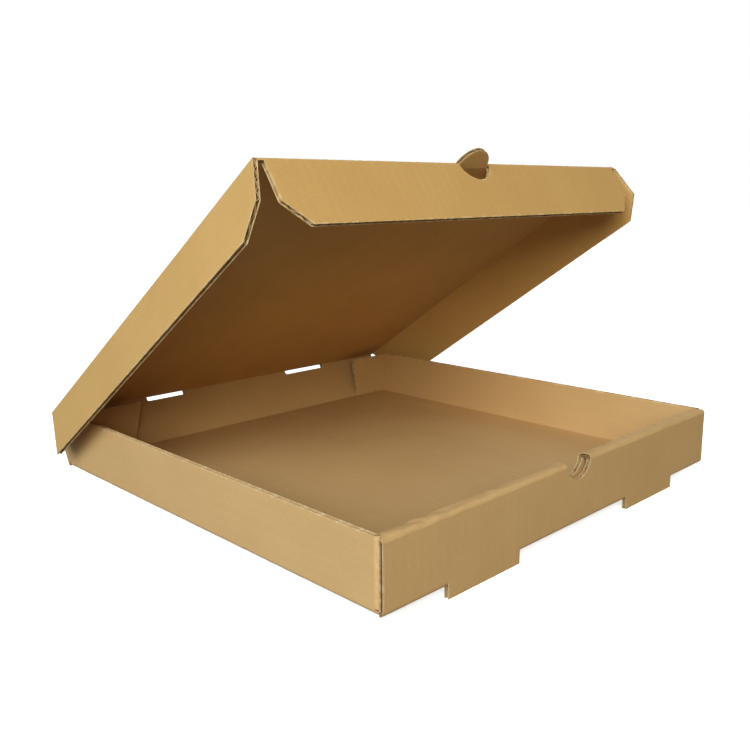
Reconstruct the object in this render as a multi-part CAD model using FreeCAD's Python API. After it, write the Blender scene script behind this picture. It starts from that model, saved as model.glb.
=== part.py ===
"""Folding pizza box of single-wall corrugated board, shown half open.

The frame is the closed tray's: +X to the right, +Y towards the hinged back, +Z up, with the origin at
the centre of the base's underside. Every panel is drawn in its closed place, with folds of 90 degrees,
and is then turned about its own crease lines into the open position that is modelled.
"""
import FreeCAD, Part
import math
import os

Vector = FreeCAD.Vector
X_AXIS = Vector(1, 0, 0)
Y_AXIS = Vector(0, 1, 0)
Z_AXIS = Vector(0, 0, 1)

# Board and clearances, in millimetres
board = 2.8                   # thickness of the corrugated board
fold_gap = 0.2                # between a crease's bead and the end of the panel that turns on it
play = 0.4                    # between panels that slide past each other when the box is shut
layer_gap = 0.2               # on each side of a layer that is trapped in the front wall
lid_seat = 0.3                # between the top of the walls and the shut lid
swing_play = 0.3              # between the front wall and the front flap's lower edge as the lid turns

# Tray
tray_width = 327.0            # over the side walls
tray_depth = 331.0            # front face to back face, shut
wall_height = 40.0            # underside of the base to the top of the walls
front_panel_inset = 1.6       # the front panel's ends stop short of the side faces
rolled_panel_play = 0.4       # between the rolled-over panel's ends and the side walls

# Feet, lock tabs and thumb notch of the front wall
foot_start = 57.0             # from the middle of the box
foot_length = 60.0
foot_drop = 7.0               # below the base
base_slot_depth = 7.0         # slot that each foot leaves in the base
lock_tab_inset = 11.0         # from the slot's ends
lock_tab_drop = 2.0           # below the base
notch_width = 25.4
notch_depth = 12.0

# Dust flaps: the front pair is trapped in the front wall, the rear pair turns
front_dust_length = 45.0
dust_floor_gap = 0.5
dust_top_drop = 1.4           # below the top of the walls
right_dust_top = 44.0         # length along the top edge, from the side wall's outer face
right_dust_bottom = 39.5
left_dust_top = 59.0
left_dust_bottom = 51.5

# Lid
side_flap_depth = 42.0        # from the lid's outer face
side_flap_front_step = 0.5    # the side flaps end this far behind the front flap's face
side_flap_rear_start = 2.5    # along the lid, clear of the rear crease
side_flap_rear_run = 17.0     # slant of the side flaps' rear ends
side_flap_chamfer = 15.0
front_flap_floor_gap = 0.9
front_flap_end_play = 0.5
front_flap_chamfer = 14.0

# Thumb tab at the lid's front edge, and the hole that it leaves in the front flap
tab_width = 28.0              # at the crease
tab_reach = 11.5
tab_lift = 18.0               # degrees above the lid
tab_gap = 0.4

# Slots along the crease between the back wall and the lid
fold_slot_start = 53.5        # from the middle of the box
fold_slot_length = 44.0
fold_slot_side = 3.2          # of the back wall's height
fold_slot_corner = 1.5

# Open position, in degrees
wall_lean = 29.5              # back wall, from upright
lid_spread = 4.0              # lid, past square to the back wall
flap_splay = 20.0             # side flaps, past square to the lid

# Places that follow from the sizes
half_width = tray_width / 2
front_y = -tray_depth / 2
rear_y = tray_depth / 2
inner_x = half_width - board
base_crease = Vector(0, rear_y - board, board)
lid_crease = Vector(0, rear_y - board, wall_height + lid_seat)
trapped_layer = board + 2 * layer_gap
inner_panel_y = front_y + board + trapped_layer
front_wall_back = inner_panel_y + board
front_flap_low = board + front_flap_floor_gap
front_flap_swing = lid_crease.y - front_wall_back - swing_play
front_flap_drop = lid_crease.z - front_flap_low
front_flap_y = lid_crease.y - math.sqrt(front_flap_swing ** 2 - front_flap_drop ** 2)
front_crease = Vector(0, front_flap_y + board, lid_crease.z)
side_crease_x = half_width + play
dust_crease_y = base_crease.y - play - board
front_dust_crease_y = front_y + 2 * board + layer_gap
flap_bottom = board + dust_floor_gap
rolled_half = inner_x - rolled_panel_play
front_panel_half = half_width - front_panel_inset
foot_end = foot_start + foot_length
flap_radius = board + fold_gap


def block(x, y, z):
    """A box between the two values of each pair."""
    corner = Vector(min(x), min(y), min(z))
    return Part.makeBox(abs(x[1] - x[0]), abs(y[1] - y[0]), abs(z[1] - z[0]), corner)


def turned(point, centre, axis, angle):
    """The point, turned about a line by an angle in degrees."""
    return centre + FreeCAD.Rotation(axis, angle).multVec(point - centre)


def sheet(points, thickness):
    """A flat panel with the given outline, thickened along a vector."""
    wire = Part.makePolygon(points + [points[0]])
    return Part.Face(wire).extrude(thickness)


def bead(centre, axis, start, span, length):
    """The rounded outside of a fold: a sector of board radius about the inner crease line.

    The sector goes from the direction start, by span degrees about axis, and runs length along axis.
    """
    first = centre + start * board
    middle = turned(first, centre, axis, span / 2)
    last = turned(first, centre, axis, span)
    arc = Part.Arc(first, middle, last).toShape()
    wire = Part.Wire([Part.makeLine(centre, first), arc, Part.makeLine(last, centre)])
    return Part.Face(wire).extrude(axis * length)


def crease_clearance(centre, axis, length):
    """Cylinder that keeps a turning panel's end clear of the crease's bead."""
    return Part.makeCylinder(flap_radius, length, centre, axis)


def joined(pieces):
    """One solid from pieces that share faces."""
    whole = pieces[0].multiFuse(pieces[1:])
    return whole.removeSplitter()


def mirrored(shape):
    """The shape's mirror image about the box's middle plane."""
    return shape.mirror(Vector(0, 0, 0), X_AXIS)


def base_and_side_walls():
    """Base panel with both side walls folded up and the bead for the back wall's crease."""
    base = block((-inner_x, inner_x), (front_y + board, base_crease.y), (0, board))
    pieces = [base]
    rear_start = Vector(-half_width, base_crease.y, base_crease.z)
    pieces.append(bead(rear_start, X_AXIS, -Z_AXIS, 180 - wall_lean, tray_width))
    strip_front = front_dust_crease_y
    wall = block((inner_x, half_width), (strip_front, dust_crease_y), (board, wall_height))
    edge_start = Vector(inner_x, base_crease.y, board)
    edge_length = base_crease.y - strip_front
    edge = bead(edge_start, -Y_AXIS, -Z_AXIS, 90, edge_length)
    rear_bead_height = wall_height - dust_top_drop - board
    rear_bead = bead(Vector(inner_x, dust_crease_y, board), Z_AXIS, X_AXIS, 180, rear_bead_height)
    for part in (wall, edge, rear_bead):
        pieces.append(part)
        pieces.append(mirrored(part))
    return pieces


def front_dust_flap():
    """Flap folded from the right side wall's front end, trapped inside the front wall."""
    fold = Vector(inner_x, front_dust_crease_y, flap_bottom)
    corner = bead(fold, Z_AXIS, -Y_AXIS, 90, wall_height - flap_bottom)
    span_y = (front_dust_crease_y - board, front_dust_crease_y)
    top = wall_height - board - layer_gap
    leaf = block((half_width - front_dust_length, inner_x), span_y, (flap_bottom, top))
    return joined([corner, leaf])


def front_wall():
    """Front panel, its roll over the top, and the inner panel that stands on the base."""
    roll_z = wall_height - board
    outer = block((-front_panel_half, front_panel_half), (front_y, front_y + board), (board, roll_z))
    inner = block((-rolled_half, rolled_half), (inner_panel_y, front_wall_back), (board, roll_z))
    top = block((-rolled_half, rolled_half), (front_y + board, inner_panel_y), (roll_z, wall_height))
    outer_roll = bead(Vector(rolled_half, front_y + board, roll_z), -X_AXIS, Z_AXIS, -90, 2 * rolled_half)
    inner_roll = bead(Vector(-rolled_half, inner_panel_y, roll_z), X_AXIS, Z_AXIS, -90, 2 * rolled_half)
    pieces = [outer, inner, top, outer_roll, inner_roll]
    pieces.extend(front_bottom_fold())
    pieces.extend(feet_and_lock_tabs())
    return pieces


def front_bottom_fold():
    """Rounded fold between the base and the front panel, left out where the feet are cut."""
    fold = Vector(0, front_y + board, board)
    spans = [(-front_panel_half, -foot_end), (-foot_start, foot_start), (foot_end, front_panel_half)]
    beads = []
    for start, end in spans:
        beads.append(bead(Vector(start, fold.y, fold.z), X_AXIS, -Y_AXIS, 90, end - start))
    return beads


def feet_and_lock_tabs():
    """Feet that carry on the front panel below the base, and the tabs of the inner panel."""
    foot = block((foot_start, foot_end), (front_y, front_y + board), (-foot_drop, board))
    tab_x = (foot_start + lock_tab_inset, foot_end - lock_tab_inset)
    tab = block(tab_x, (inner_panel_y, front_wall_back), (-lock_tab_drop, board))
    return [foot, mirrored(foot), tab, mirrored(tab)]


def base_slots():
    """Slots that the feet leave in the base, where the lock tabs go."""
    slot_y = (front_y + board, front_y + board + base_slot_depth)
    slot = block((foot_start, foot_end), slot_y, (-board, board))
    return [slot, mirrored(slot)]


def thumb_notch():
    """Round notch through every layer of the front wall's top."""
    radius = notch_width / 2
    centre = Vector(0, front_y - board, wall_height + radius - notch_depth)
    reach = front_wall_back - front_y + 2 * board
    return Part.makeCylinder(radius, reach, centre, Y_AXIS)


def tray():
    """The whole tray, one folded sheet."""
    floor = joined(base_and_side_walls())
    for slot in base_slots():
        floor = floor.cut(slot)
    flap = front_dust_flap()
    whole = joined([floor, flap, mirrored(flap)] + front_wall())
    return whole.cut(thumb_notch()).removeSplitter()


def fold_slot():
    """One slot of the crease between the back wall and the lid, with rounded lower corners."""
    low_z = lid_crease.z - fold_slot_side
    high_z = lid_crease.z + 2 * board
    end = fold_slot_start + fold_slot_length
    back_y = rear_y + board
    reach = 3 * board
    radius = fold_slot_corner
    straight = block((fold_slot_start + radius, end - radius), (back_y - reach, back_y), (low_z, high_z))
    upper = block((fold_slot_start, end), (back_y - reach, back_y), (low_z + radius, high_z))
    pieces = [straight, upper]
    for x in (fold_slot_start + radius, end - radius):
        corner = Vector(x, back_y - reach, low_z + radius)
        pieces.append(Part.makeCylinder(radius, reach, corner, Y_AXIS))
    return joined(pieces)


def back_wall():
    """Back wall, upright, with the bead of the lid's crease and the two slots."""
    wall = block((-half_width, half_width), (base_crease.y, rear_y), (base_crease.z, lid_crease.z))
    start = Vector(half_width, lid_crease.y, lid_crease.z)
    lid_bead = bead(start, -X_AXIS, Y_AXIS, -(180 - lid_spread), tray_width)
    whole = joined([wall, lid_bead])
    low_start = Vector(-tray_width, base_crease.y, base_crease.z)
    whole = whole.cut(crease_clearance(low_start, X_AXIS, 2 * tray_width))
    slot = fold_slot()
    return whole.cut(slot).cut(mirrored(slot))


def tab_outline_radius(grow):
    """Radius of the round cut whose chord at the crease is the tab's width."""
    half = tab_width / 2 + grow
    reach = tab_reach + grow
    return (half * half + reach * reach) / (2 * reach)


def thumb_tab():
    """Round tab at the middle of the lid's front edge, lifted a little above the lid."""
    radius = tab_outline_radius(0)
    centre = Vector(0, front_crease.y + radius - tab_reach, front_crease.z)
    disc = Part.makeCylinder(radius, board, centre, Z_AXIS)
    ahead = block((-tab_width, tab_width), (front_crease.y, front_crease.y - 2 * tab_reach),
                  (front_crease.z, front_crease.z + board))
    tab = disc.common(ahead)
    return tab.rotate(front_crease, X_AXIS, -tab_lift)


def lid_panel():
    """Lid panel, shut, with the beads of its three flap creases and the thumb tab."""
    top_z = lid_crease.z + board
    plate = block((-side_crease_x, side_crease_x), (front_crease.y, lid_crease.y), (lid_crease.z, top_z))
    pieces = [plate]
    side_start = Vector(side_crease_x, side_front_y(), lid_crease.z)
    side = bead(side_start, Y_AXIS, Z_AXIS, 180 - flap_splay, side_rear_y() - side_front_y())
    pieces.extend([side, mirrored(side)])
    half_span = front_flap_half()
    gap_half = tab_width / 2
    for start in (-half_span, gap_half):
        fold = Vector(start, front_crease.y, front_crease.z)
        pieces.append(bead(fold, X_AXIS, Z_AXIS, 180, half_span - gap_half))
    whole = joined(pieces + [thumb_tab()])
    rear_start = Vector(-tray_width, lid_crease.y, lid_crease.z)
    return whole.cut(crease_clearance(rear_start, X_AXIS, 2 * tray_width)).removeSplitter()


def side_front_y():
    """Front end of the side flaps, shut."""
    return front_flap_y + side_flap_front_step


def side_rear_y():
    """Rear end of the side flaps' creases, shut."""
    return lid_crease.y - side_flap_rear_start


def front_flap_half():
    """Half the front flap's width: it tucks between the side walls."""
    return inner_x - front_flap_end_play


def right_side_flap():
    """Right side flap, shut: it hangs outside the tray's side wall."""
    top_z = lid_crease.z
    low_z = top_z + board - side_flap_depth
    front = side_front_y()
    rear = side_rear_y()
    x = side_crease_x
    outline = [
        Vector(x, front, top_z),
        Vector(x, front, low_z + side_flap_chamfer),
        Vector(x, front + side_flap_chamfer, low_z),
        Vector(x, rear - side_flap_rear_run, low_z),
        Vector(x, rear, top_z),
    ]
    flap = sheet(outline, X_AXIS * board)
    start = Vector(x, -tray_depth, top_z)
    return flap.cut(crease_clearance(start, Y_AXIS, 2 * tray_depth))


def front_flap():
    """Front flap, shut: it tucks behind the tray's front wall, with the hole of the thumb tab."""
    half = front_flap_half()
    top_z = front_crease.z
    low_z = front_flap_low
    y = front_crease.y
    outline = [
        Vector(-half, y, top_z),
        Vector(-half, y, low_z + front_flap_chamfer),
        Vector(-half + front_flap_chamfer, y, low_z),
        Vector(half - front_flap_chamfer, y, low_z),
        Vector(half, y, low_z + front_flap_chamfer),
        Vector(half, y, top_z),
    ]
    flap = sheet(outline, -Y_AXIS * board)
    start = Vector(-tray_width, y, top_z)
    flap = flap.cut(crease_clearance(start, X_AXIS, 2 * tray_width))
    radius = tab_outline_radius(tab_gap)
    centre = Vector(0, y - 2 * board, top_z + radius - tab_reach - tab_gap)
    return flap.cut(Part.makeCylinder(radius, 4 * board, centre, Y_AXIS))


def rear_dust_flap(top_length, bottom_length):
    """Flap folded from the right side wall's rear end, inside the back wall."""
    low_z = flap_bottom
    top_z = wall_height - dust_top_drop
    y = dust_crease_y
    outline = [
        Vector(inner_x, y, low_z),
        Vector(inner_x, y, top_z),
        Vector(half_width - top_length, y, top_z),
        Vector(half_width - bottom_length, y, low_z),
    ]
    flap = sheet(outline, Y_AXIS * board)
    start = Vector(inner_x, y, -wall_height)
    return flap.cut(crease_clearance(start, Z_AXIS, 3 * wall_height))


def leaned(shape):
    """The shape turned with the back wall, about the base's rear crease."""
    return shape.rotate(base_crease, X_AXIS, -wall_lean)


def opened(shape):
    """The shape turned with the lid, about the back wall's upper crease and then with the wall."""
    return leaned(shape.rotate(lid_crease, X_AXIS, -lid_spread))


def splayed(shape, side):
    """A side flap turned outwards about its crease, then opened with the lid."""
    crease = Vector(side * side_crease_x, 0, lid_crease.z)
    return opened(shape.rotate(crease, Y_AXIS, -side * flap_splay))


def build_nodes():
    """Every piece in its open position, by node name."""
    right_flap = right_side_flap()
    left_flap = mirrored(right_flap)
    return {
        "tray": tray(),
        "back_wall": leaned(back_wall()),
        "lid_panel": opened(lid_panel()),
        "lid_front_flap": opened(front_flap()),
        "lid_left_flap": splayed(left_flap, -1),
        "lid_right_flap": splayed(right_flap, 1),
        "left_rear_dust_flap": mirrored(rear_dust_flap(left_dust_top, left_dust_bottom)),
        "right_rear_dust_flap": rear_dust_flap(right_dust_top, right_dust_bottom),
    }


os.makedirs("parts", exist_ok=True)
for name, shape in build_nodes().items():
    shape.exportStep("parts/" + name + ".step")
    box = shape.BoundBox
    print(name, "solids", len(shape.Solids), "valid", shape.isValid(), "volume", round(shape.Volume))
    print("  x %.1f %.1f y %.1f %.1f z %.1f %.1f" % (box.XMin, box.XMax, box.YMin, box.YMax, box.ZMin, box.ZMax))
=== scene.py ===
"""Half-open folding pizza box of corrugated board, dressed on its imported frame.

Panels and folds are drawn in the shut box, in millimetres: +X to the right, +Y towards the hinged
back, +Z up, from the centre of the base's underside. Each is turned into the open position and
scaled to metres when its mesh is finished.
"""

import logging
import math
from collections.abc import Callable
from dataclasses import dataclass
from enum import Enum

import bmesh
import bpy
from bmesh.types import BMesh, BMEdge, BMFace, BMVert
from bpy.types import Material, Node, NodeSocket, NodeTree, Object
from mathutils import Matrix, Vector, noise
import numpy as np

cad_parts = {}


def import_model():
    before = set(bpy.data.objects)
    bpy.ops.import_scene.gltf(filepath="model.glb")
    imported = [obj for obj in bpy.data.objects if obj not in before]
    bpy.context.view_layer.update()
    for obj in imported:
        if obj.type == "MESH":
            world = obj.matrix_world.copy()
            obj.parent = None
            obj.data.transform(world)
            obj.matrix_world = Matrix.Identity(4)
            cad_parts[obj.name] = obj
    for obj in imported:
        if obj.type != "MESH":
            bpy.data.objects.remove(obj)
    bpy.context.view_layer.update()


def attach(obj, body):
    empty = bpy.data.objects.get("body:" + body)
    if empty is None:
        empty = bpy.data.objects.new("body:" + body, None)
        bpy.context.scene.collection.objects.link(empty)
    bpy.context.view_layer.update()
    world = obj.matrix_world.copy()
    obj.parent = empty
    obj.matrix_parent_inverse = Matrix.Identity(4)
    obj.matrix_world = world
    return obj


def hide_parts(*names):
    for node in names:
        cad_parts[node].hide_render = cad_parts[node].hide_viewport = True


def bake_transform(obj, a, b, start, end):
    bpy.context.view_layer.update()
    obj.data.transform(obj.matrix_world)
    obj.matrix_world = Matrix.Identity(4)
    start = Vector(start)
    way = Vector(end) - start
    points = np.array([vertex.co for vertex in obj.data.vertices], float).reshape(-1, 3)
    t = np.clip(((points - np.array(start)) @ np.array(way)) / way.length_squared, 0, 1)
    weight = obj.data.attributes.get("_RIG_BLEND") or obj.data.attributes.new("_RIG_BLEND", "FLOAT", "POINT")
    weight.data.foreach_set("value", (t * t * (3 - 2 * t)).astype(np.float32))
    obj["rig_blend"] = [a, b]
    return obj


log = logging.getLogger("pizza_box")

Point2 = tuple[float, float]
Point3 = tuple[float, float, float]
Colour = tuple[float, float, float, float]

BOARD_UV = "board"
RIM = "rim"
MM = 0.001
TEAR_SEED = 7
BOARD_THICKNESS = 2.8
FLUTE_PITCH = 6.4
QUARTER = 90.0
ON_LINE = 0.01
TINY = 1e-6
END_ON = 0.9
WHITE = (1.0, 1.0, 1.0, 1.0)
UNTURNED = Matrix.Identity(4)

# A Wave texture of this scale has bands one unit apart.
WAVE_UNIT = math.pi / 10
# The Mix node's sockets for colours, which share their names with its other sockets.
MIX_SHARE, MIX_FIRST, MIX_SECOND, MIX_RESULT = 0, 6, 7, 2

X_AXIS = Vector((1.0, 0.0, 0.0))
Y_AXIS = Vector((0.0, 1.0, 0.0))
Z_AXIS = Vector((0.0, 0.0, 1.0))


class Body(Enum):
    """Moving bodies of the frame."""

    TRAY = "tray"
    BACK_WALL = "back_wall"
    LID = "lid"
    FRONT_FLAP = "front_flap"
    LEFT_FLAP = "left_flap"
    RIGHT_FLAP = "right_flap"
    LEFT_DUST = "left_dust_flap"
    RIGHT_DUST = "right_dust_flap"


class Layer(Enum):
    """Material positions that every board piece has."""

    LINER = 0
    CUT_EDGE = 1
    FLUTES = 2


class Side(Enum):
    """Sides of the box, by the sign of X."""

    LEFT = -1
    RIGHT = 1

    @property
    def label(self) -> str:
        """The side as names of pieces say it."""
        return self.name.lower()


class OnBlank(Enum):
    """Where each panel's paper is taken from on the flat blank, in millimetres."""

    SIDE_WALL = (170.0, 0.0)
    FRONT_WALL = (0.0, 200.0)
    FRONT_DUST = (170.0, 210.0)
    REAR_DUST = (170.0, 400.0)
    BACK_WALL = (0.0, 430.0)
    LID = (0.0, 480.0)
    SIDE_FLAP = (190.0, 640.0)
    TAB = (0.0, 790.0)
    FRONT_FLAP = (0.0, 800.0)

    def on(self, side: Side) -> Point2:
        """The place on one side of the blank."""
        return side.value * self.value[0], self.value[1]


@dataclass(frozen=True)
class CorrugatedBoard:
    """Single-wall board that every panel is cut from, in millimetres."""

    thickness: float = BOARD_THICKNESS
    liner: float = 0.35
    medium: float = 0.32
    pitch: float = FLUTE_PITCH
    steps_per_flute: int = 10
    rim_width: float = 1.3
    rim_press: float = 0.1
    rim_dent: float = 0.16
    rim_step: float = 9.0
    rim_noise: float = 0.045
    flute_wear: float = 0.6
    core_setback: float = 0.2

    @property
    def amplitude(self) -> float:
        """Half the flutes' height, measured on the medium's middle."""
        return self.thickness / 2 - self.liner - self.medium / 2


@dataclass(frozen=True)
class BoxSizes:
    """Driving sizes of the shut box, in millimetres and degrees."""

    board: float = BOARD_THICKNESS
    width: float = 327.0
    depth: float = 331.0
    wall_height: float = 40.0
    lid_seat: float = 0.3
    play: float = 0.4
    layer_gap: float = 0.2
    front_panel_inset: float = 0.3
    rolled_panel_play: float = 0.4
    flap_bottom: float = 3.3
    front_flap_y: float = -154.3
    wall_lean: float = 29.5
    lid_spread: float = 4.0
    flap_splay: float = 20.0

    @property
    def half_width(self) -> float:
        """Middle of the box to a side wall's outer face."""
        return self.width / 2

    @property
    def inner_x(self) -> float:
        """Middle of the box to a side wall's inner face."""
        return self.half_width - self.board

    @property
    def front_fold_y(self) -> float:
        """Crease between the base and the front wall."""
        return self.board - self.depth / 2

    @property
    def base_crease(self) -> Vector:
        """Crease between the base and the back wall."""
        return Vector((0.0, self.depth / 2 - self.board, self.board))

    @property
    def lid_crease(self) -> Vector:
        """Crease between the back wall and the lid."""
        return Vector((0.0, self.base_crease.y, self.wall_height + self.lid_seat))

    @property
    def front_crease(self) -> Vector:
        """Crease between the lid and its front flap."""
        return Vector((0.0, self.front_flap_y + self.board, self.lid_crease.z))

    @property
    def side_crease_x(self) -> float:
        """Middle of the box to the creases of the lid's side flaps."""
        return self.half_width + self.play

    @property
    def inner_panel_y(self) -> float:
        """Front face of the rolled-over inner panel of the front wall."""
        return self.front_fold_y + self.board + 2 * self.layer_gap

    @property
    def roll_z(self) -> float:
        """Height at which the front wall starts to roll over."""
        return self.wall_height - self.board

    @property
    def rolled_half(self) -> float:
        """Half the length of the rolled-over panel."""
        return self.inner_x - self.rolled_panel_play

    @property
    def dust_crease_y(self) -> float:
        """Crease of the rear dust flaps."""
        return self.base_crease.y - self.play - self.board

    @property
    def front_dust_crease_y(self) -> float:
        """Crease of the front dust flaps."""
        return self.front_fold_y + self.board + self.layer_gap


def about(point: Vector, axis: Vector, degrees: float) -> Matrix:
    """Turn about a line.

    Args:
        point: A point of the line.
        axis: Direction of the line.
        degrees: Right-handed angle.

    Returns:
        The turn as a 4x4 matrix.
    """
    turn = Matrix.Rotation(math.radians(degrees), 4, axis)
    return Matrix.Translation(point) @ turn @ Matrix.Translation(-point)


@dataclass(frozen=True)
class OpenPosition:
    """Turns that take each part of the shut box to its place at rest."""

    sizes: BoxSizes

    def wall(self) -> Matrix:
        """The back wall leans back about the base's rear crease."""
        return about(self.sizes.base_crease, X_AXIS, -self.sizes.wall_lean)

    def lid(self) -> Matrix:
        """The lid turns about the back wall's upper crease, and goes with the wall."""
        return self.wall() @ about(self.sizes.lid_crease, X_AXIS, -self.sizes.lid_spread)

    def side_flap(self, side: Side) -> Matrix:
        """A side flap splays about its crease, and goes with the lid.

        Args:
            side: Which flap.

        Returns:
            The turn as a 4x4 matrix.
        """
        crease = Vector((side.value * self.sizes.side_crease_x, 0.0, self.sizes.lid_crease.z))
        return self.lid() @ about(crease, Y_AXIS, -side.value * self.sizes.flap_splay)


@dataclass(frozen=True)
class NodeSheet:
    """Short calls for laying out a material's nodes."""

    tree: NodeTree

    def add(self, kind: str, **settings: object) -> Node:
        """Adds a node.

        Args:
            kind: The node's type.
            **settings: Properties of the node to set.

        Returns:
            The new node.
        """
        node = self.tree.nodes.new(kind)
        for name, value in settings.items():
            setattr(node, name, value)
        return node

    def feed(self, socket: NodeSocket, source: object) -> None:
        """Links an output to a socket, or sets the socket's own value.

        Args:
            socket: The input.
            source: An output socket, a number or a colour.
        """
        if isinstance(source, NodeSocket):
            self.tree.links.new(source, socket)
        else:
            socket.default_value = source

    def maths(self, operation: str, first: object, second: object = 0.0,
              clamp: bool = False) -> NodeSocket:
        """One sum.

        Args:
            operation: Name of the Math node's operation.
            first: First value or output.
            second: Second value or output.
            clamp: Whether the result is kept from 0 to 1.

        Returns:
            The result's socket.
        """
        node = self.add("ShaderNodeMath", operation=operation, use_clamp=clamp)
        self.feed(node.inputs[0], first)
        self.feed(node.inputs[1], second)
        return node.outputs[0]

    def between(self, value: NodeSocket, low: float, high: float,
                out_low: float = 0.0, out_high: float = 1.0) -> NodeSocket:
        """A value's share of a range, smoothly, as a new range.

        Args:
            value: The output to read.
            low: Value that gives out_low.
            high: Value that gives out_high.
            out_low: Result at and below low.
            out_high: Result at and above high.

        Returns:
            The result's socket.
        """
        node = self.add("ShaderNodeMapRange", interpolation_type="SMOOTHSTEP")
        self.feed(node.inputs["Value"], value)
        node.inputs["From Min"].default_value = low
        node.inputs["From Max"].default_value = high
        node.inputs["To Min"].default_value = out_low
        node.inputs["To Max"].default_value = out_high
        return node.outputs["Result"]

    def mix(self, share: object, first: object, second: object,
            blend: str = "MIX") -> NodeSocket:
        """Two colours mixed.

        Args:
            share: How much of the second colour, from 0 to 1.
            first: First colour or output.
            second: Second colour or output.
            blend: Name of the blend.

        Returns:
            The mixed colour's socket.
        """
        node = self.add("ShaderNodeMix", data_type="RGBA", blend_type=blend)
        self.feed(node.inputs[MIX_SHARE], share)
        self.feed(node.inputs[MIX_FIRST], first)
        self.feed(node.inputs[MIX_SECOND], second)
        return node.outputs[MIX_RESULT]

    def noise(self, vector: NodeSocket, scale: float, detail: float = 3.0,
              stretch: Point2 = (1.0, 1.0)) -> NodeSocket:
        """Soft noise on the board's coordinates.

        Args:
            vector: The coordinates, in metres.
            scale: Cells per metre.
            detail: Finer layers.
            stretch: Extra scale across and along the flutes.

        Returns:
            The noise's value.
        """
        spread = self.add("ShaderNodeMapping")
        self.feed(spread.inputs["Vector"], vector)
        spread.inputs["Scale"].default_value = (stretch[0], stretch[1], 1.0)
        node = self.add("ShaderNodeTexNoise")
        self.feed(node.inputs["Vector"], spread.outputs["Vector"])
        node.inputs["Scale"].default_value = scale
        node.inputs["Detail"].default_value = detail
        return node.outputs["Fac"]


@dataclass(frozen=True)
class Grain:
    """One noise pattern of the paper, and the range of it that becomes a result."""

    scale: float
    detail: float
    low: float
    high: float
    result: Point2 = (0.0, 1.0)
    stretch: Point2 = (1.0, 1.0)

    def value(self, sheet: NodeSheet, board: NodeSocket) -> NodeSocket:
        """The pattern's result.

        Args:
            sheet: Node layout of the material.
            board: The board's coordinates.

        Returns:
            The result's socket.
        """
        pattern = sheet.noise(board, self.scale, self.detail, self.stretch)
        return sheet.between(pattern, self.low, self.high, *self.result)


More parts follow.
